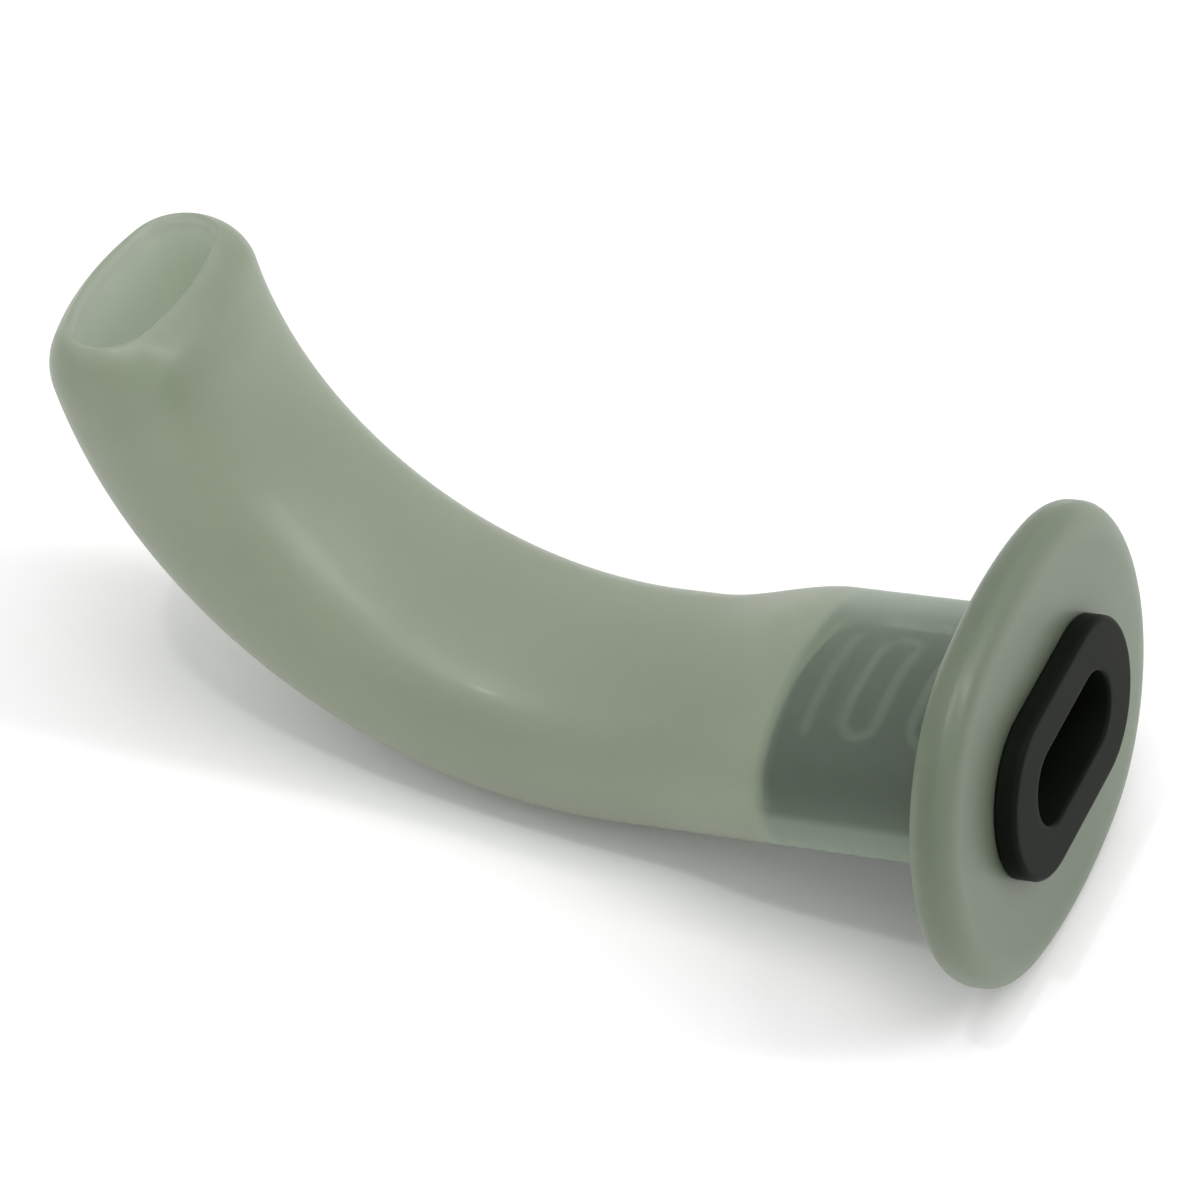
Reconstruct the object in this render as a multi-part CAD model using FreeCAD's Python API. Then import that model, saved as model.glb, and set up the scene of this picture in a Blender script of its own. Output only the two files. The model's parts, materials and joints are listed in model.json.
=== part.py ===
import FreeCAD, Part
import math
import os

# Oropharyngeal airway for a small child, length 60 mm: a curved, flattened breathing
# tube and its lip flange, moulded in one piece, with a hard bite block pushed into the
# mouth end.
#
# Both pieces are drawn along the tube: Y runs into the mouth from the outer face of
# the flange, X runs across, and Z points to the inside of the bend. Last, they are
# turned and moved together until the airway lies as it does on a table, on the rim of
# the flange and the outside of the bend. All sizes are in millimetres and degrees.

# Breathing tube. The bend is measured on the tube's middle line. A crown is how far
# the middle of a broad side stands out past the radius of the ends.
straight_run = 2.4
bend_radius = 25.45
bend_angle = 94.5
tube_half_width = 7.9
tube_half_height = 4.7
tube_crown = 0.5
tube_drop = 0.9
wall = 1.95
tip_round = 3.4

# The tip's round keeps below this share of the radius of the tube's ends.
tip_round_share = 0.85

# Housing of the bite block, a wider run of the same tube next to the flange, and the
# neck that eases it into the tube.
housing_length = 14.3
housing_half_width = 8.9
housing_half_height = 5.2
housing_crown = 1.2
neck_length = 8.0
neck_stations = 5

# Lip flange
flange_half_width = 14.65
flange_half_height = 11.5
flange_crown = 0.4
flange_thickness = 2.6
flange_rim_round = 1.05
rim_steps = 3
flange_root_bevel = 0.75

# Bite block: a plate on the flange and a sleeve in the housing, with one slot.
plate_half_width = 8.6
plate_half_height = 4.95
plate_thickness = 1.25
plate_edge_bevel = 0.25
slot_half_width = 5.3
slot_half_height = 2.25
slot_edge_bevel = 0.2
sleeve_past_housing = 0.4
sleeve_gap = 0.05
sleeve_lead_in = 0.5

# Retaining grooves on the sleeve's broad faces, as one straight groove near the end
# and loops around raised bars behind it.
groove_width = 0.55
groove_depth = 0.35
groove_half_width = 4.4
groove_pitch = 2.0
loop_count = 2

# The lumen runs out past both ends of the body. Its bend is drawn in straight steps,
# because only the wall's inside has them.
lumen_past_face = 1.0
lumen_past_tip = 10.0
lumen_bend_steps = 9

# Two points this close count as one place.
same_place = 1e-4

neck_end = housing_length + neck_length
straight_length = neck_end + straight_run
sleeve_length = housing_length + sleeve_past_housing
bend_centre = FreeCAD.Vector(0, straight_length, bend_radius - tube_drop)


def vector(x, y, z):
    return FreeCAD.Vector(x, y, z)


def oval(half_width, half_height, crown, y, z=0.0):
    """Flattened oval across the tube, made of four arcs that meet tangentially."""
    # The broad radius is the one whose arc touches both end arcs: with e the distance
    # to the end centre, h the half height and r the end radius, it is
    # (e squared + h squared - r squared) over twice (h - r).
    end_radius = half_height - crown
    end_centre = half_width - end_radius
    broad_radius = (end_centre**2 + half_height**2 - end_radius**2) / (2 * crown)
    joint_angle = math.atan2(broad_radius - half_height, end_centre)
    joint_x = end_centre + end_radius * math.cos(joint_angle)
    joint_z = end_radius * math.sin(joint_angle)
    corners = [(joint_x, -joint_z), (joint_x, joint_z), (-joint_x, joint_z), (-joint_x, -joint_z)]
    middles = [(half_width, 0.0), (0.0, half_height), (-half_width, 0.0), (0.0, -half_height)]
    edges = []
    for index, middle in enumerate(middles):
        start = corners[index]
        end = corners[(index + 1) % 4]
        points = [vector(px, y, z + pz) for px, pz in (start, middle, end)]
        edges.append(Part.Arc(*points).toShape())
    return Part.Wire(edges)


def stadium(half_width, half_height, y):
    """Slot outline across the tube: two straight sides and two half circles."""
    end_centre = half_width - half_height
    right = Part.Arc(
        vector(end_centre, y, -half_height), vector(half_width, y, 0), vector(end_centre, y, half_height)
    ).toShape()
    left = Part.Arc(
        vector(-end_centre, y, half_height), vector(-half_width, y, 0), vector(-end_centre, y, -half_height)
    ).toShape()
    top = Part.makeLine(vector(end_centre, y, half_height), vector(-end_centre, y, half_height))
    bottom = Part.makeLine(vector(-end_centre, y, -half_height), vector(end_centre, y, -half_height))
    return Part.Wire([right, top, left, bottom])


def prism(wire, length):
    return Part.Face(wire).extrude(vector(0, length, 0))


def fuse_all(pieces):
    return pieces[0].multiFuse(pieces[1:]).removeSplitter()


def edges_where(shape, test):
    """The edges of a shape whose every corner and middle pass the test."""
    found = []
    for edge in shape.Edges:
        span = edge.LastParameter - edge.FirstParameter
        points = [edge.valueAt(edge.FirstParameter + span * share) for share in (0.0, 0.5, 1.0)]
        if all(test(point) for point in points):
            found.append(edge)
    return found


def edges_across(shape, y, reach):
    """The edges of a shape in the plane at Y = y, within reach of the middle line."""
    limit = reach + same_place
    return edges_where(
        shape, lambda point: abs(point.y - y) < same_place and max(abs(point.x), abs(point.z)) < limit
    )


def tube_oval(inset, y):
    """The tube's section, moved in by inset."""
    return oval(tube_half_width - inset, tube_half_height - inset, tube_crown, y, -tube_drop)


def tube_start(inset, start):
    """The housing from Y = start, the neck and the straight run, moved in by inset."""
    housing = (housing_half_width - inset, housing_half_height - inset, housing_crown)
    tube = (tube_half_width - inset, tube_half_height - inset, tube_crown)

    # The neck eases from one section to the other: 3 u squared - 2 u cubed.
    neck_wires = []
    for station in range(neck_stations):
        u = station / (neck_stations - 1)
        ease = 3 * u**2 - 2 * u**3
        sizes = [a + (b - a) * ease for a, b in zip(housing, tube)]
        neck_wires.append(oval(*sizes, housing_length + neck_length * u, -tube_drop * ease))
    return [
        prism(oval(*housing, start), housing_length - start),
        Part.makeLoft(neck_wires, True, True),
        prism(tube_oval(inset, neck_end), straight_run),
    ]


def bend():
    """The outside of the bend, with a full round nose that the lumen later opens."""
    solid = Part.Face(tube_oval(0.0, straight_length)).revolve(bend_centre, vector(1, 0, 0), bend_angle)
    end_direction = math.radians(bend_angle)
    end_normal = vector(0, math.cos(end_direction), math.sin(end_direction))
    end_point = bend_centre + vector(0, math.sin(end_direction), -math.cos(end_direction)) * bend_radius
    tip_edges = edges_where(solid, lambda point: abs((point - end_point).dot(end_normal)) < same_place)
    largest_round = tip_round_share * (tube_half_height - tube_crown)
    return solid.makeFillet(min(tip_round, largest_round), tip_edges)


def lumen():
    """The bore of the body: the same run as the outside, a wall's thickness smaller."""
    step = (bend_angle + lumen_past_tip) / lumen_bend_steps
    wires = []
    for index in range(lumen_bend_steps + 1):
        wire = tube_oval(wall, straight_length)
        wire.rotate(bend_centre, vector(1, 0, 0), step * index)
        wires.append(wire)
    return fuse_all(tube_start(wall, -lumen_past_face) + [Part.makeLoft(wires, True, True)])


def flange():
    """The lip flange, with a rounded rim."""
    # Seen along the rim, each round is a quarter circle that is stepped off by angle.
    wires = []
    for side in (-1, 1):
        for index in range(rim_steps + 1):
            turn = math.radians(90) * (index if side < 0 else rim_steps - index) / rim_steps
            inset = flange_rim_round * (1 - math.sin(turn))
            edge = flange_thickness / 2 - flange_rim_round * (1 - math.cos(turn))
            y = flange_thickness / 2 + side * edge
            wires.append(oval(flange_half_width - inset, flange_half_height - inset, flange_crown, y))
    return Part.makeLoft(wires, True, True)


def airway_body():
    solid = fuse_all([flange()] + tube_start(0.0, flange_thickness / 2) + [bend()])
    root = edges_across(solid, flange_thickness, housing_half_width)
    solid = solid.makeChamfer(flange_root_bevel, root)
    return solid.cut(lumen()).removeSplitter()


def groove(start, end):
    """A channel around a bar that lies across the sleeve, from Y = start to Y = end."""
    half_run = (end - start + groove_width) / 2
    middle = (start + end) / 2

    def racetrack(half_length, half_run_here):
        wire = stadium(half_length, half_run_here, 0.0)
        # The outline is drawn across the tube, then laid flat on the broad face.
        wire.rotate(vector(0, 0, 0), vector(1, 0, 0), -90)
        wire.translate(vector(0, middle, 0))
        return Part.Face(wire)

    outer = racetrack(groove_half_width, half_run)
    if end - start > groove_width:
        outer = outer.cut(racetrack(groove_half_width - groove_width, half_run - groove_width))
    return outer


def sleeve():
    """The bite block's sleeve, a small gap inside the housing's wall."""
    inset = wall + sleeve_gap
    outline = oval(housing_half_width - inset, housing_half_height - inset, housing_crown, 0.0)
    solid = prism(outline, sleeve_length)
    solid = solid.makeChamfer(sleeve_lead_in, edges_across(solid, sleeve_length, housing_half_width))
    groove_floor = housing_half_height - inset - groove_depth
    first = sleeve_length - groove_pitch
    channels = [groove(first, first)]
    for loop in range(loop_count):
        end = first - groove_pitch * (1 + 2 * loop)
        channels.append(groove(end - groove_pitch, end))
    for channel in channels:
        for side in (1, -1):
            cutter = channel.copy()
            cutter.translate(vector(0, 0, side * groove_floor))
            solid = solid.cut(cutter.extrude(vector(0, 0, side * 2 * groove_depth)))
    return solid


def bite_block():
    front = -plate_thickness
    plate = prism(stadium(plate_half_width, plate_half_height, front), plate_thickness)
    plate = plate.makeChamfer(plate_edge_bevel, edges_across(plate, front, plate_half_width))
    solid = plate.fuse(sleeve()).removeSplitter()
    slot_wire = stadium(slot_half_width, slot_half_height, front)
    solid = solid.cut(prism(slot_wire, plate_thickness + sleeve_length)).removeSplitter()
    return solid.makeChamfer(slot_edge_bevel, edges_across(solid, front, slot_half_width))


body = airway_body()
block = bite_block()

# At rest the table touches the flange's lower rim and the outside of the bend: it is
# the common tangent of the rim's round and of the bend's outer circle.
rim_centre = vector(0, flange_rim_round, -(flange_half_height - flange_rim_round))
belly_radius = bend_radius + tube_half_height
between = bend_centre - rim_centre
tangent_turn = math.asin((belly_radius - flange_rim_round) / between.Length)
slope = math.atan2(between.z, between.y) - tangent_turn
for shape in (body, block):
    shape.rotate(vector(0, 0, 0), vector(1, 0, 0), -math.degrees(slope))
box = body.optimalBoundingBox()
block_box = block.optimalBoundingBox()
front = min(box.YMin, block_box.YMin)
back = max(box.YMax, block_box.YMax)
move = vector(0, -(front + back) / 2, -box.ZMin)
for shape in (body, block):
    shape.translate(move)

os.makedirs("parts", exist_ok=True)
body.exportStep("parts/airway_body.step")
block.exportStep("parts/bite_block.step")

print("slope", round(math.degrees(slope), 3), "move", round(move.y, 3), round(move.z, 3))
for name, shape in (("airway_body", body), ("bite_block", block)):
    size = shape.optimalBoundingBox()
    print(
        name, shape.isValid(), "solids", len(shape.Solids), "faces", len(shape.Faces),
        "volume", round(shape.Volume, 1),
        "size", round(size.XLength, 2), round(size.YLength, 2), round(size.ZLength, 2),
    )
print("shared volume", round(body.common(block).Volume, 5))
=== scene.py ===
import json
import math

import bpy
import numpy as np
from mathutils import Matrix, Vector


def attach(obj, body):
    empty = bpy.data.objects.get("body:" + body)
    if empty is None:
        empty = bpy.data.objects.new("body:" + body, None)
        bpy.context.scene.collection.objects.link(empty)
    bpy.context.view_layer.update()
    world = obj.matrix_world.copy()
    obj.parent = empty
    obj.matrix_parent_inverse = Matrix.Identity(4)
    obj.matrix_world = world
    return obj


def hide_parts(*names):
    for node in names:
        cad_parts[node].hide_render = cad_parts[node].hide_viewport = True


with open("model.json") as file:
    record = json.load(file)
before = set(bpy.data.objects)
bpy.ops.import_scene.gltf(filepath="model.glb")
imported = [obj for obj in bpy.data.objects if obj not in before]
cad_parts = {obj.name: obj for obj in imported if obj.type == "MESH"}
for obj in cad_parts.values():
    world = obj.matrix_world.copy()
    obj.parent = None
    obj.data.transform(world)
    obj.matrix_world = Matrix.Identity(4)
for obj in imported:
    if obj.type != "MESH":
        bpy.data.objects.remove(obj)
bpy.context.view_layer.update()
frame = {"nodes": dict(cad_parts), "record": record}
print("frame loaded:", ", ".join(sorted(frame["nodes"])))

mm = 0.001


# The airway's run of sections, in millimetres along the tube from the flange's outer
# face. A section is half width, half height and crown: a crown is how far the middle of
# a broad side stands out past the radius of the ends.
tube = {
    "housing": (8.9, 5.2, 1.2),
    "tube": (7.9, 4.7, 0.5),
    "housingEnd": 14.3,
    "neckEnd": 22.3,
    "straightEnd": 24.7,
    "bendRadius": 25.45,
    "bendAngle": 94.5,          # degrees
    "drop": 0.9,                # how far the tube's middle lies below the housing's
    "wall": 1.95,
    "tipRound": 3.4,
    "tipEdge": (0.36, 0.48),    # round of the tip's inner edge: across the wall, and back along it
    "closeRings": (0.5, 0.3),   # past the sleeve's end, the last wide-set ring and the first close one
    "around": 192,              # points in a ring
}

lipFlange = {
    "section": (14.65, 11.5, 0.4),
    "thickness": 2.6,
    "rimRound": 1.05,
    "rimSoft": 1.7,             # how far the front edge's round reaches in over the face
    "rootRound": 0.9,
    "mouthRound": 0.12,
}

# Rings in each stretch of the body's profile.
bodyRings = {
    "outside": 170, "nose": 22, "tipEdge": 7, "lumen": 110,
    "mouth": 5, "face": 16, "rim": 9, "root": 8,
}

biteBlock = {
    "plate": (8.6, 4.95, 0.002),
    "plateThickness": 1.25,
    "plateEdgeRound": 0.3,
    "mountRise": 3.6,           # the record's mount on the plate, above the plate's middle
    "slot": (5.3, 2.25, 0.002),
    "slotEdgeRound": 0.22,
    "sleeveLength": 14.7,
    "sleeveGap": 0.05,
    "leadIn": 0.5,
    "grooveWidth": 0.55,
    "grooveDepth": 0.35,
    "grooveSoft": 0.08,         # half the run over which a groove's side falls
    "grooveHalfWidth": 4.4,
    "groovePitch": 2.0,
    "loops": 2,
    "around": 256,
}

blockRings = {
    "sleeve": 150, "leadIn": 7, "endFace": 6, "slot": 24, "slotEdge": 7,
    "plateFace": 10, "plateEdge": 8, "plateSide": 6, "plateBack": 5,
}

view = {
    "target": (-0.08, -1.29, 12.36),    # mm, the point that the camera aims at
    "azimuth": -66.1,                   # degrees from -Y towards -X
    "elevation": 43.1,
    "roll": -0.2,
    "distance": 333.3,                  # mm
    "lens": 180.0,
    "sensor": 36.0,
    "clipStart": 0.01,                  # m
}


def ease(u):
    return 3 * u**2 - 2 * u**3


def fade(value, start, stop):
    # Eases from 0 at start to 1 at stop.
    return ease(np.clip((value - start) / (stop - start), 0.0, 1.0))


def quarter(count):
    return np.linspace(0.0, math.pi / 2, count)


# Rings and paths

def ovalRadius(angle, halfWidth, halfHeight, crown):
    # Distance from the middle of an oval of four arcs to its edge, at each polar angle.
    # Ends: e cos a + sqrt(r^2 - e^2 sin^2 a), with end radius r and end centre e.
    # Broad sides: sqrt(R^2 - c^2 cos^2 a) - c |sin a|, with broad radius R, c = R - h.
    endRadius = halfHeight - crown
    e = halfWidth - endRadius
    broad = (e**2 + halfHeight**2 - endRadius**2) / (2 * crown)
    c = broad - halfHeight
    joint = np.arctan2(c, e)
    jointAngle = np.arctan2(endRadius * np.sin(joint), e + endRadius * np.cos(joint))
    side = np.abs(np.cos(angle))
    rise = np.abs(np.sin(angle))
    endPart = e * side + np.sqrt(np.maximum(endRadius**2 - (e * rise)**2, 0.0))
    broadPart = np.sqrt(np.maximum(broad**2 - (c * side)**2, 0.0)) - c * rise
    return np.where(np.arctan2(rise, side) < jointAngle, endPart, broadPart)


def sectionsAlong(along, inset):
    # The run's own section at each place, moved in by inset: the housing, then the neck
    # that eases to the tube, then the tube. Columns: place along the tube, half width,
    # half height, crown, shift of the middle.
    share = fade(along, tube["housingEnd"], tube["neckEnd"])
    housing, plain = np.array(tube["housing"]), np.array(tube["tube"])
    sizes = housing + (plain - housing) * share[:, None]
    shift = -tube["drop"] * share
    return np.column_stack([along, sizes[:, 0] - inset, sizes[:, 1] - inset, sizes[:, 2], shift])


def ringRows(along, section, inset):
    # Rows for one fixed section at given places and insets.
    along, inset = np.broadcast_arrays(np.asarray(along, float), np.asarray(inset, float))
    flat = np.zeros_like(along)
    return np.column_stack([along, section[0] - inset, section[1] - inset, flat + section[2], flat])


def betweenRows(first, last, count):
    # Rows that pass straight from one ring to another, without both ends.
    u = np.linspace(0.0, 1.0, count + 2)[1:-1, None]
    return first + (last - first) * u


def ringPoints(rows, columns):
    # Column k stands at polar angle 2 pi k / columns in every ring.
    angle = np.linspace(0.0, 2 * math.pi, columns, endpoint=False)[None, :]
    along, halfWidth, halfHeight, crown, shift = (rows[:, k, None] for k in range(5))
    radius = ovalRadius(angle, halfWidth, halfHeight, crown)
    return along + 0 * angle, radius * np.cos(angle), radius * np.sin(angle) + shift


def onPath(along, across, height):
    # Straight run: (across, along, height). Bend: the same section turned about the
    # bend's centre by (along - straight end) / radius.
    turn = np.maximum(along - tube["straightEnd"], 0.0) / tube["bendRadius"]
    arm = tube["bendRadius"] - (height + tube["drop"])
    straight = np.minimum(along, tube["straightEnd"])
    y = straight + arm * np.sin(turn)
    z = np.where(turn > 0, tube["bendRadius"] - tube["drop"] - arm * np.cos(turn), height)
    return across, y, z


def restPose(points):
    # The airway lies on its flange and the outside of its bend. The record's plate face
    # gives the slope and the place of the flange's outer face.
    mounts = {mount["name"]: mount for mount in frame["record"]["mounts"]}
    axis = mounts["plate_face"]["axis"]
    facePoint = np.array(mounts["plate_face"]["pos_m"]) / mm
    cosine, sine = -axis[1], axis[2]
    mountY, mountZ = -biteBlock["plateThickness"], biteBlock["mountRise"]
    originY = facePoint[1] - (mountY * cosine + mountZ * sine)
    originZ = facePoint[2] - (-mountY * sine + mountZ * cosine)
    x, y, z = points[..., 0], points[..., 1], points[..., 2]
    return np.stack([x, y * cosine + z * sine + originY, -y * sine + z * cosine + originZ], axis=-1)


def closedGrid(name, points):
    # A grid that closes on itself both ways, rings by columns, made into a smooth mesh.
    rings, columns = points.shape[:2]
    index = np.arange(rings * columns).reshape(rings, columns)
    right = np.roll(index, -1, axis=1)
    below = np.roll(index, -1, axis=0)
    across = np.roll(below, -1, axis=1)
    quads = np.stack([index, below, across, right], axis=-1).reshape(-1, 4)
    mesh = bpy.data.meshes.new(name)
    mesh.vertices.add(rings * columns)
    mesh.vertices.foreach_set("co", (points * mm).ravel())
    mesh.loops.add(quads.size)
    mesh.loops.foreach_set("vertex_index", quads.ravel())
    mesh.polygons.add(len(quads))
    mesh.polygons.foreach_set("loop_start", np.arange(0, quads.size, 4))
    mesh.polygons.foreach_set("loop_total", np.full(len(quads), 4))
    mesh.update(calc_edges=True)
    mesh.validate()
    mesh.polygons.foreach_set("use_smooth", np.ones(len(mesh.polygons), bool))
    piece = bpy.data.objects.new(name, mesh)
    bpy.context.scene.collection.objects.link(piece)
    return piece


# Airway body

def bodyStretches():
    # One profile goes round the wall, as named stretches of rings: outside from the root
    # to the tip, over the nose, back through the lumen, and out over the flange. Carried
    # round the tube's ovals it is one closed skin.
    wall, nose = tube["wall"], tube["tipRound"]
    edgeAcross, edgeBack = tube["tipEdge"]
    thickness, section = lipFlange["thickness"], lipFlange["section"]
    rim, root, mouth = lipFlange["rimRound"], lipFlange["rootRound"], lipFlange["mouthRound"]
    noseStart = tube["straightEnd"] + math.radians(tube["bendAngle"]) * tube["bendRadius"] - nose
    outside = sectionsAlong(np.linspace(thickness + root, noseStart, bodyRings["outside"]), 0.0)

    # Nose: a quarter round, inset r (1 - cos a) and forward r sin a, up to the inner edge's
    # own small round.
    last = math.acos(1 - (wall - edgeAcross) / nose)
    turn = np.linspace(0.0, last, bodyRings["nose"])[1:]
    noseRows = sectionsAlong(noseStart + nose * np.sin(turn), nose * (1 - np.cos(turn)))
    tip = noseStart + nose * math.sin(last)
    turn = quarter(bodyRings["tipEdge"])[1:]
    tipEdge = sectionsAlong(tip - edgeBack * (1 - np.cos(turn)), wall - edgeAcross * (1 - np.sin(turn)))

    # The lumen's rings stand closer together along the sleeve, for the lines of its grooves.
    wideEnd, closeStart = (biteBlock["sleeveLength"] + past for past in tube["closeRings"])
    farPlaces = np.linspace(tip - 2 * edgeBack, wideEnd, bodyRings["lumen"])
    nearPlaces = np.linspace(closeStart, 3 * mouth, bodyRings["lumen"])
    lumen = sectionsAlong(np.concatenate([farPlaces, nearPlaces]), wall)
    turn = quarter(bodyRings["mouth"])
    mouthRows = sectionsAlong(mouth * (1 - np.sin(turn)), wall - mouth * (1 - np.cos(turn)))

    # Flange: a quarter ellipse over the front edge, a quarter round over the back edge and
    # a hollow quarter round at the root.
    turn = quarter(bodyRings["rim"])
    frontRim = ringRows(rim * (1 - np.cos(turn)), section, lipFlange["rimSoft"] * (1 - np.sin(turn)))
    backRim = ringRows(thickness - rim * (1 - np.sin(turn)), section, rim * (1 - np.cos(turn)))
    turn = quarter(bodyRings["root"])[:-1]
    rootRows = sectionsAlong(thickness + root * (1 - np.cos(turn)), -root * (1 - np.sin(turn)))
    return {
        "outside": outside,
        "nose": noseRows,
        "tipEdge": tipEdge,
        "lumen": lumen,
        "mouth": mouthRows,
        "frontFace": betweenRows(mouthRows[-1], frontRim[0], bodyRings["face"]),
        "frontRim": frontRim,
        "backRim": backRim,
        "backFace": betweenRows(backRim[-1], rootRows[0], bodyRings["face"]),
        "root": rootRows,
    }


# Where the wall's look changes. Places are in millimetres.
wallLook = {
    "clearFade": (1.5, 0.5),        # before the sleeve's end: the outside turns milky between these
    "lumenFade": 0.2,               # past the sleeve's end, the same on the lumen
    "sightLimits": (0.49, 0.78),    # cosines, on the broad sides and on the ends
    "endFade": (6.0, 7.5),          # from the middle: a broad side passes into an end
    "grooveSide": 2.0,              # a groove shows where the lumen's wall is higher than this
    "noseShade": 0.2,                # share of the flange's darker tone on the nose, painted shade against the light its thin edge lets in
    "noseFade": 4.0,
    "rimDeep": 0.92,                # and on the flange's rim and back: a little lighter than the face, painted light against their shade
}


def ringValues(stretches, values):
    # One value for each ring: the named stretches take theirs, and the others take zero.
    return np.concatenate([np.zeros(len(rows)) + values.get(name, 0.0) for name, rows in stretches.items()])


def wallLayers(stretches, along, across, height):
    # What the wall's material reads, one value for each point.
    sleeveEnd = biteBlock["sleeveLength"]
    outside, lumen = stretches["outside"][:, 0], stretches["lumen"][:, 0]
    clearStart, clearEnd = (sleeveEnd - reach for reach in wallLook["clearFade"])
    noseShade, rimDeep = wallLook["noseShade"], wallLook["rimDeep"]
    noseStart = outside[-1]
    columns = np.ones(tube["around"])

    # lumenShare: one in the lumen, with a soft change over the tip's edge.
    lumenShare = np.outer(ringValues(stretches, {
        "tipEdge": ease(np.linspace(0.0, 1.0, len(stretches["tipEdge"]))),
        "lumen": 1.0,
        "mouth": 1.0,
    }), columns)
    # sleeveBehind: one where the sleeve touches the wall from within; the colour takes painted shade there.
    sleeveBehind = np.outer(ringValues(stretches, {
        "outside": 1 - fade(outside, clearStart, clearEnd),
        "lumen": 1 - fade(lumen, sleeveEnd, sleeveEnd + wallLook["lumenFade"]),
        "mouth": 1.0,
    }), columns)
    # deepShare: one on the flange's face, a little less on its rim and back as painted light against their
    # shade, and a little on the nose as painted shade against the light its thin edge lets in.
    deepShare = np.outer(ringValues(stretches, {
        "outside": noseShade * fade(outside, noseStart - wallLook["noseFade"], noseStart),
        "nose": noseShade,
        "tipEdge": noseShade,
        "frontFace": 1.0,
        "frontRim": rimDeep,
        "backRim": rimDeep,
        "backFace": rimDeep,
        "root": rimDeep * ease(np.linspace(1.0, 0.0, len(stretches["root"]))),
    }), columns)
    # grooveBehind: one on the lumen's wall over a groove of the sleeve, which stays milky.
    overGroove = grooveDepth(across, along) / biteBlock["grooveDepth"]
    broadSide = np.abs(height) > wallLook["grooveSide"]
    # sightLimit: the slant past which a line of sight through the outer skin misses the
    # sleeve, as the cosine to the skin. The tighter the skin's curve, the sooner it does.
    broadLimit, endLimit = wallLook["sightLimits"]
    limit = broadLimit + (endLimit - broadLimit) * fade(np.abs(across), *wallLook["endFade"])
    return {
        "lumenShare": lumenShare,
        "sleeveBehind": sleeveBehind,
        "deepShare": deepShare,
        "grooveBehind": overGroove * lumenShare * broadSide,
        "sightLimit": limit * (1 - lumenShare),
    }


def makeAirwayBody():
    stretches = bodyStretches()
    along, across, height = ringPoints(np.concatenate(list(stretches.values())), tube["around"])
    piece = closedGrid("airwaySkin", restPose(np.stack(onPath(along, across, height), axis=-1)))
    for name, values in wallLayers(stretches, along, across, height).items():
        layer = piece.data.attributes.new(name, "FLOAT", "POINT")
        layer.data.foreach_set("value", values.ravel().astype(np.float32))
    return piece


# Bite block

def grooveDepth(across, along):
    # Each groove is a racetrack round a bar: how deep a place is follows its distance
    # from the racetrack's middle line, full depth within half the groove's width.
    half, soft = biteBlock["grooveWidth"] / 2, biteBlock["grooveSoft"]
    first = biteBlock["sleeveLength"] - biteBlock["groovePitch"]
    runs = [(first, first)]
    for loop in range(biteBlock["loops"]):
        end = first - biteBlock["groovePitch"] * (1 + 2 * loop)
        runs.append((end - biteBlock["groovePitch"], end))
    depth = np.zeros_like(across)
    for start, end in runs:
        bend = (end - start) / 2
        straight = biteBlock["grooveHalfWidth"] - half - bend
        reach = np.hypot(np.maximum(np.abs(across) - straight, 0.0), along - (start + end) / 2)
        share = fade(-np.abs(reach - bend), -half - soft, soft - half)
        depth = np.maximum(depth, biteBlock["grooveDepth"] * share)
    return depth


def makeBiteBlock():
    # The profile goes round: sleeve outside, lead-in, end face, slot, slot mouth, plate.
    inset = tube["wall"] + biteBlock["sleeveGap"]
    sleeve = (tube["housing"][0] - inset, tube["housing"][1] - inset, tube["housing"][2])
    plate, slot = biteBlock["plate"], biteBlock["slot"]
    length, lead = biteBlock["sleeveLength"], biteBlock["leadIn"]
    front = -biteBlock["plateThickness"]
    plateRound, slotRound = biteBlock["plateEdgeRound"], biteBlock["slotEdgeRound"]

    outside = ringRows(np.linspace(0.0, length - lead, blockRings["sleeve"]), sleeve, 0.0)
    leadIn = lead * np.linspace(0.0, 1.0, blockRings["leadIn"])[1:]
    leadRows = ringRows(length - lead + leadIn, sleeve, leadIn)
    slotRows = ringRows(np.linspace(length, front + slotRound, blockRings["slot"]), slot, 0.0)
    turn = quarter(blockRings["slotEdge"])[1:]
    mouthRows = ringRows(front + slotRound * (1 - np.sin(turn)), slot, -slotRound * (1 - np.cos(turn)))
    turn = quarter(blockRings["plateEdge"])
    edgeRows = ringRows(front + plateRound * (1 - np.cos(turn)), plate, plateRound * (1 - np.sin(turn)))
    sideRows = ringRows(np.linspace(front + plateRound, 0.0, blockRings["plateSide"])[1:], plate, 0.0)
    endFace = betweenRows(leadRows[-1], slotRows[0], blockRings["endFace"])
    plateFace = betweenRows(mouthRows[-1], edgeRows[0], blockRings["plateFace"])
    plateBack = betweenRows(sideRows[-1], outside[0], blockRings["plateBack"])
    rows = [outside, leadRows, endFace, slotRows, mouthRows, plateFace, edgeRows, sideRows, plateBack]
    along, across, height = ringPoints(np.concatenate(rows), biteBlock["around"])

    # The grooves are pressed into the sleeve's broad faces.
    count = len(outside)
    depth = grooveDepth(across[:count], along[:count])
    height[:count] -= np.sign(height[:count]) * np.minimum(depth, np.abs(height[:count]) / 2)
    return closedGrid("biteBlockSkin", restPose(np.stack([across, along, height], axis=-1)))


# Materials

def linear(hexColour):
    # sRGB hex to linear light.
    channels = [int(hexColour[k:k + 2], 16) / 255 for k in (1, 3, 5)]
    return [c / 12.92 if c <= 0.04045 else ((c + 0.055) / 1.055) ** 2.4 for c in channels] + [1.0]


def addNode(tree, kind, settings=None, links=None):
    # A setting goes to the socket of that name or number, or else to the node itself.
    node = tree.nodes.new(kind)
    for name, value in (settings or {}).items():
        if isinstance(name, int) or name in node.inputs:
            node.inputs[name].default_value = value
        else:
            setattr(node, name, value)
    for name, source in (links or {}).items():
        tree.links.new(source, node.inputs[name])
    return node


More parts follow.
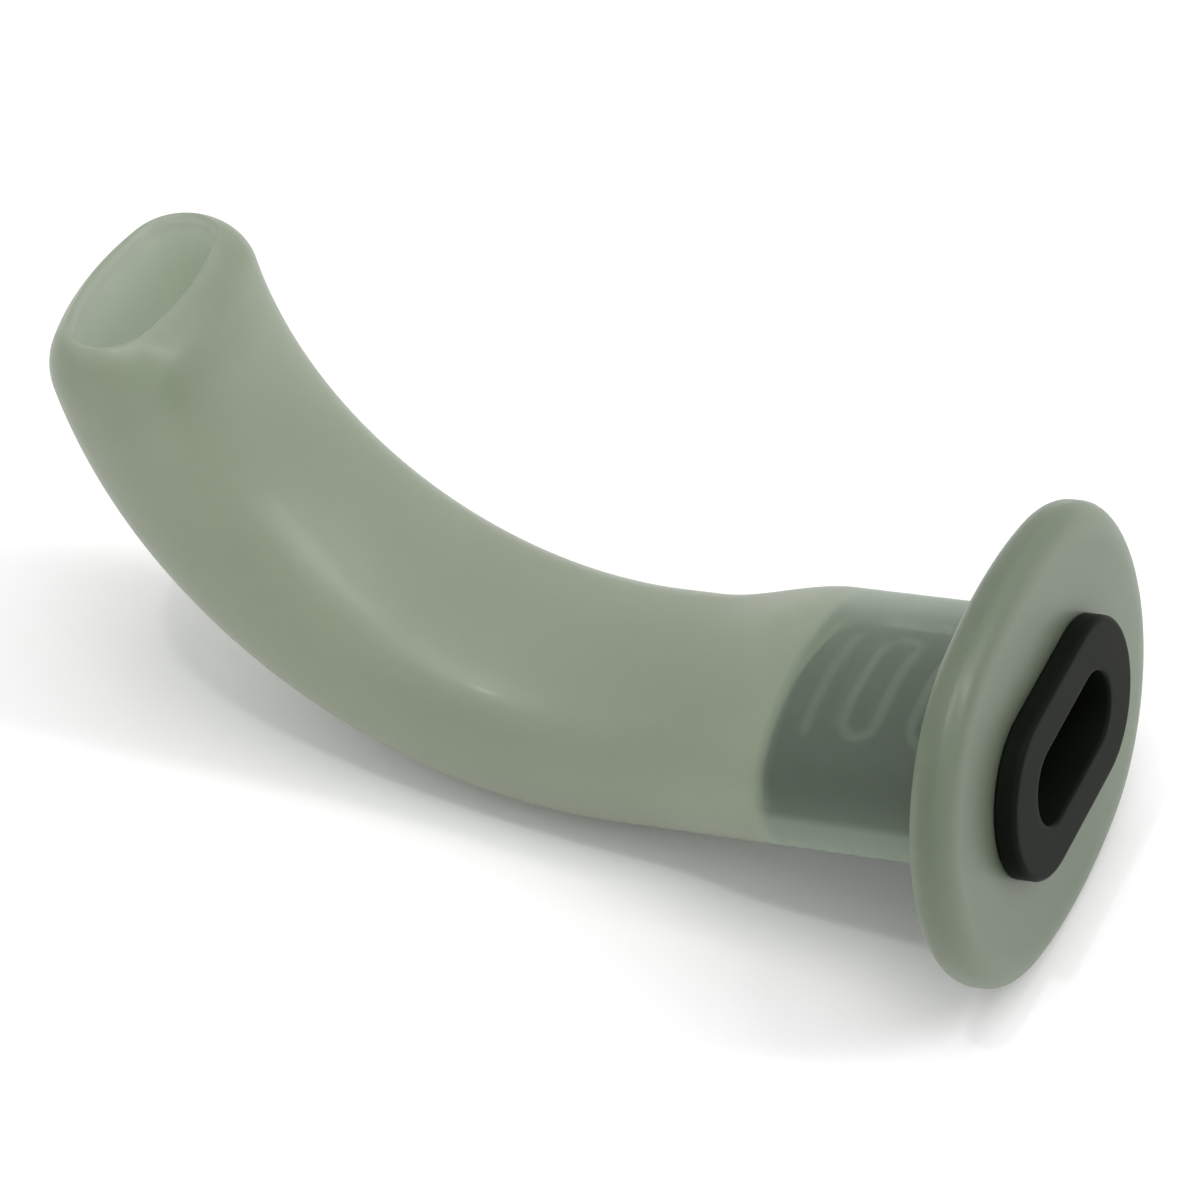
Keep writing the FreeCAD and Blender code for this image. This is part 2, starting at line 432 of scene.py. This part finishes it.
def newMaterial(name):
    material = bpy.data.materials.new(name)
    material.use_nodes = True
    material.node_tree.nodes.clear()
    return material, material.node_tree


frostedPolyethylene = {
    "pale": "#a9b49d",
    "deep": "#9fa994",
    "flange": "#7b8872",        # darker on the thick flange, and painted shade where it reaches the nose
    "lumen": "#d6dfd0",         # painted light: paler, for the light that comes in through the milky wall
    "sleeveShade": "#9dad9a",     # painted shade: the milky wall darker and cooler where the black sleeve behind it takes the light
    "coat": 0.1,                # the skin's own faint gloss
    "coatRoughness": 0.16,
    "absorbed": "#9fb292",      # the tint that a long way through the wall takes on
    "density": 0.12,            # per mm
    "transmission": 0.45,
    "overSleeve": 0.35,         # transmission where the sleeve touches the wall
    "roughness": (0.40, 0.48),
    "ior": 1.51,
    "subsurface": 1.0,
    "scatter": 4.0,             # mm
    "cover": 0.35,              # how much of the sleeve the wall in front of it hides
    "farCover": 0.75,           # how much the wall on the far side hides of what is past it
    "lumenCover": 0.05,
    "grooveCover": 0.7,
    "slant": 1.1,               # how much more it hides when seen at a slant
    "leastCosine": 0.05,        # the steepest slant that is told apart
    "pastSleeve": 0.42,         # how clear it stays where the line of sight misses the sleeve
    "sightFade": 0.14,
    "grain": 0.12,              # mm, the mould's fine frosting, drawn coarse enough to show
    "cloud": 9.0,               # mm, slow changes in how milky the plastic is
    "bump": 0.006,              # mm
}


def addWallAlpha(tree, layer, farSide):
    # The wall lets the sleeve show where it touches, less over its grooves.
    m = frostedPolyethylene
    lumenCover = addNode(tree, "ShaderNodeMapRange", {"To Min": m["lumenCover"], "To Max": m["grooveCover"]},
                         {"Value": layer["grooveBehind"]})
    skinCover = addNode(tree, "ShaderNodeMapRange", {"To Min": m["cover"], "To Max": m["farCover"]},
                        {"Value": farSide})
    cover = addNode(tree, "ShaderNodeMapRange", {}, {
        "Value": layer["lumenShare"],
        "To Min": skinCover.outputs["Result"],
        "To Max": lumenCover.outputs["Result"],
    })
    clear = addNode(tree, "ShaderNodeMapRange", {"To Min": 0.0, "From Min": 1.0, "From Max": 0.0},
                    {"Value": cover.outputs["Result"], "To Max": layer["sleeveBehind"]})
    # The longer the way through, the more it hides: what shows is clear to the power of
    # slant / cos angle + 1 - slant.
    facing = addNode(tree, "ShaderNodeLayerWeight", {"Blend": 0.5}).outputs["Facing"]
    cosine = addNode(tree, "ShaderNodeMapRange",
                     {"From Max": 1 - m["leastCosine"], "To Min": 1.0, "To Max": m["leastCosine"]},
                     {"Value": facing})
    way = addNode(tree, "ShaderNodeMath", {"operation": "DIVIDE", 0: m["slant"]},
                  {1: cosine.outputs["Result"]})
    way = addNode(tree, "ShaderNodeMath", {"operation": "ADD", 1: 1 - m["slant"]}, {0: way.outputs[0]})
    clear = addNode(tree, "ShaderNodeMath", {"operation": "POWER"},
                    {0: clear.outputs["Result"], 1: way.outputs[0]})
    # Past the slant where the line of sight misses the sleeve, the wall looks milky again.
    limit = layer["sightLimit"]
    limitStart = addNode(tree, "ShaderNodeMath", {"operation": "SUBTRACT", 1: m["sightFade"]}, {0: limit})
    inSight = addNode(tree, "ShaderNodeMapRange",
                      {"To Min": m["pastSleeve"], "interpolation_type": "SMOOTHSTEP"},
                      {"Value": cosine.outputs["Result"],
                       "From Min": limitStart.outputs[0], "From Max": limit})
    clear = addNode(tree, "ShaderNodeMath", {"operation": "MULTIPLY"},
                    {0: clear.outputs[0], 1: inSight.outputs["Result"]})
    return addNode(tree, "ShaderNodeMath", {"operation": "SUBTRACT", 0: 1.0}, {1: clear.outputs[0]})


def makeFrostedPolyethylene():
    # Moulded low-density polyethylene: milky and greenish, with soft, broad highlights. It
    # hides what is far behind it and shows what touches it, as the black sleeve does.
    m = frostedPolyethylene
    material, tree = newMaterial("frostedPolyethylene")
    place = addNode(tree, "ShaderNodeTexCoord").outputs["Object"]
    cloud = addNode(tree, "ShaderNodeTexNoise", {"Scale": 1 / (m["cloud"] * mm), "Detail": 2.0},
                    {"Vector": place})
    grain = addNode(tree, "ShaderNodeTexNoise", {"Scale": 1 / (m["grain"] * mm), "Detail": 3.0},
                    {"Vector": place})
    layer = {
        name: addNode(tree, "ShaderNodeAttribute", {"attribute_name": name}).outputs["Fac"]
        for name in ("lumenShare", "sleeveBehind", "deepShare", "grooveBehind", "sightLimit")
    }
    colour = addNode(tree, "ShaderNodeMix", {"data_type": "RGBA", 6: linear(m["deep"]), 7: linear(m["pale"])},
                     {0: cloud.outputs["Fac"]})
    # The lumen's paler tone is painted light, the tone over the sleeve is painted shade, and the flange's
    # darker tone is painted shade where it reaches the nose.
    for tone, share in (("lumen", "lumenShare"), ("sleeveShade", "sleeveBehind"), ("flange", "deepShare")):
        colour = addNode(tree, "ShaderNodeMix", {"data_type": "RGBA", 7: linear(m[tone])},
                         {0: layer[share], 6: colour.outputs[2]})
    rough = addNode(tree, "ShaderNodeMapRange", {"To Min": m["roughness"][0], "To Max": m["roughness"][1]},
                    {"Value": cloud.outputs["Fac"]})
    # Seen from inside the wall, a skin doesn't scatter below itself.
    farSide = addNode(tree, "ShaderNodeNewGeometry").outputs["Backfacing"]
    below = addNode(tree, "ShaderNodeMapRange", {"To Min": m["subsurface"], "To Max": 0.0},
                    {"Value": farSide})
    through = addNode(tree, "ShaderNodeMapRange", {"To Min": m["transmission"], "To Max": m["overSleeve"]},
                      {"Value": layer["sleeveBehind"]})
    bump = addNode(tree, "ShaderNodeBump", {"Strength": 1.0, "Distance": m["bump"] * mm},
                   {"Height": grain.outputs["Fac"]})
    shader = addNode(tree, "ShaderNodeBsdfPrincipled", {
        "IOR": m["ior"],
        "Coat Weight": m["coat"],
        "Coat Roughness": m["coatRoughness"],
        "Subsurface Radius": (1.0, 1.0, 1.0),
        "Subsurface Scale": m["scatter"] * mm,
    }, {
        "Base Color": colour.outputs[2],
        "Roughness": rough.outputs["Result"],
        "Transmission Weight": through.outputs["Result"],
        "Alpha": addWallAlpha(tree, layer, farSide).outputs[0],
        "Subsurface Weight": below.outputs["Result"],
        "Normal": bump.outputs["Normal"],
    })
    depth = addNode(tree, "ShaderNodeVolumeAbsorption",
                    {"Color": linear(m["absorbed"]), "Density": m["density"] / mm})
    addNode(tree, "ShaderNodeOutputMaterial", {},
            {"Surface": shader.outputs["BSDF"], "Volume": depth.outputs["Volume"]})
    return material


blackPolypropylene = {
    "colour": "#0f130e",
    "worn": "#161a15",
    "roughness": (0.34, 0.44),
    "ior": 1.49,
    "shine": 0.025,             # specular level
    "grain": 0.15,              # mm
    "cloud": 4.0,               # mm
    "bump": 0.004,              # mm
}


def makeBlackPolypropylene():
    # Hard black polypropylene, moulded in a fine spark-eroded mould: satin, with a faint
    # grain.
    m = blackPolypropylene
    material, tree = newMaterial("blackPolypropylene")
    place = addNode(tree, "ShaderNodeTexCoord").outputs["Object"]
    cloud = addNode(tree, "ShaderNodeTexNoise", {"Scale": 1 / (m["cloud"] * mm), "Detail": 3.0},
                    {"Vector": place})
    grain = addNode(tree, "ShaderNodeTexNoise", {"Scale": 1 / (m["grain"] * mm), "Detail": 2.0},
                    {"Vector": place})
    colour = addNode(tree, "ShaderNodeMix",
                     {"data_type": "RGBA", 6: linear(m["colour"]), 7: linear(m["worn"])},
                     {0: cloud.outputs["Fac"]})
    rough = addNode(tree, "ShaderNodeMapRange", {"To Min": m["roughness"][0], "To Max": m["roughness"][1]},
                    {"Value": cloud.outputs["Fac"]})
    bump = addNode(tree, "ShaderNodeBump", {"Strength": 1.0, "Distance": m["bump"] * mm},
                   {"Height": grain.outputs["Fac"]})
    shader = addNode(tree, "ShaderNodeBsdfPrincipled", {"IOR": m["ior"], "Specular IOR Level": m["shine"]},
                     {"Base Color": colour.outputs[2], "Roughness": rough.outputs["Result"],
                      "Normal": bump.outputs["Normal"]})
    addNode(tree, "ShaderNodeOutputMaterial", {}, {"Surface": shader.outputs["BSDF"]})
    return material


# Stage

studio = {
    "floorSize": 3.0,           # m
    "floor": "#ffffff",
    "skyStrength": 0.74,
    "skySeen": 1.0,             # the background that the camera sees
    "lampAim": (0.0, 0.0, 0.012),
    # Each lamp: power in W, width and length in m, and place in m. A soft box overhead, a
    # long strip in front of it and a small lamp above.
    "softBox": (0.95, (0.35, 0.35), (-0.03, 0.0, 0.62)),
    "strip": (1.15, (0.06, 0.5), (0.15, -0.42, 0.475)),
    "smallLamp": (0.25, (0.012, 0.03), (-0.15, 0.09, 0.57)),
}


def makeStage():
    # A plain white floor that takes the shadow, under an even white sky.
    half = studio["floorSize"] / 2
    mesh = bpy.data.meshes.new("floor")
    corners = [(-half, -half, 0), (half, -half, 0), (half, half, 0), (-half, half, 0)]
    mesh.from_pydata(corners, [], [(0, 1, 2, 3)])
    floor = bpy.data.objects.new("floor", mesh)
    bpy.context.scene.collection.objects.link(floor)
    material, tree = newMaterial("paleFloor")
    shader = addNode(tree, "ShaderNodeBsdfDiffuse", {"Color": linear(studio["floor"])})
    addNode(tree, "ShaderNodeOutputMaterial", {}, {"Surface": shader.outputs["BSDF"]})
    mesh.materials.append(material)

    world = bpy.data.worlds.new("studioWorld")
    bpy.context.scene.world = world
    world.use_nodes = True
    tree = world.node_tree
    tree.nodes.clear()
    path = addNode(tree, "ShaderNodeLightPath")
    strength = addNode(tree, "ShaderNodeMapRange",
                       {"To Min": studio["skyStrength"], "To Max": studio["skySeen"]},
                       {"Value": path.outputs["Is Camera Ray"]})
    sky = addNode(tree, "ShaderNodeBackground", {"Color": (1.0, 1.0, 1.0, 1.0)},
                  {"Strength": strength.outputs["Result"]})
    addNode(tree, "ShaderNodeOutputWorld", {}, {"Surface": sky.outputs["Background"]})


def addLamp(name, power, size, place):
    lamp = bpy.data.lights.new(name, "AREA")
    lamp.energy = power
    lamp.shape = "RECTANGLE"
    lamp.size, lamp.size_y = size
    holder = bpy.data.objects.new(name, lamp)
    holder.location = place
    holder.rotation_euler = (Vector(studio["lampAim"]) - Vector(place)).to_track_quat("-Z", "Y").to_euler()
    bpy.context.scene.collection.objects.link(holder)


def makeCamera():
    azimuth, elevation = math.radians(view["azimuth"]), math.radians(view["elevation"])
    level = math.cos(elevation)
    back = Vector((math.sin(azimuth) * level, -math.cos(azimuth) * level, math.sin(elevation)))
    camera = bpy.data.objects.new("camera", bpy.data.cameras.new("camera"))
    camera.data.lens = view["lens"]
    camera.data.sensor_width = view["sensor"]
    camera.data.clip_start = view["clipStart"]
    camera.location = (Vector(view["target"]) + back * view["distance"]) * mm
    roll = Matrix.Rotation(math.radians(view["roll"]), 4, "Z")
    camera.rotation_euler = (back.to_track_quat("Z", "Y").to_matrix().to_4x4() @ roll).to_euler()
    bpy.context.scene.collection.objects.link(camera)
    bpy.context.scene.camera = camera


body = makeAirwayBody()
body.data.materials.append(makeFrostedPolyethylene())
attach(body, "root")
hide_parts("airway_body")
print("airway body made:", len(body.data.polygons), "faces")

block = makeBiteBlock()
block.data.materials.append(makeBlackPolypropylene())
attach(block, "root")
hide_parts("bite_block")
print("bite block made:", len(block.data.polygons), "faces")

makeStage()
for lampName in ("softBox", "strip", "smallLamp"):
    addLamp(lampName, *studio[lampName])
makeCamera()
bpy.context.scene.view_settings.view_transform = "Standard"
print("stage, lamps and camera made")
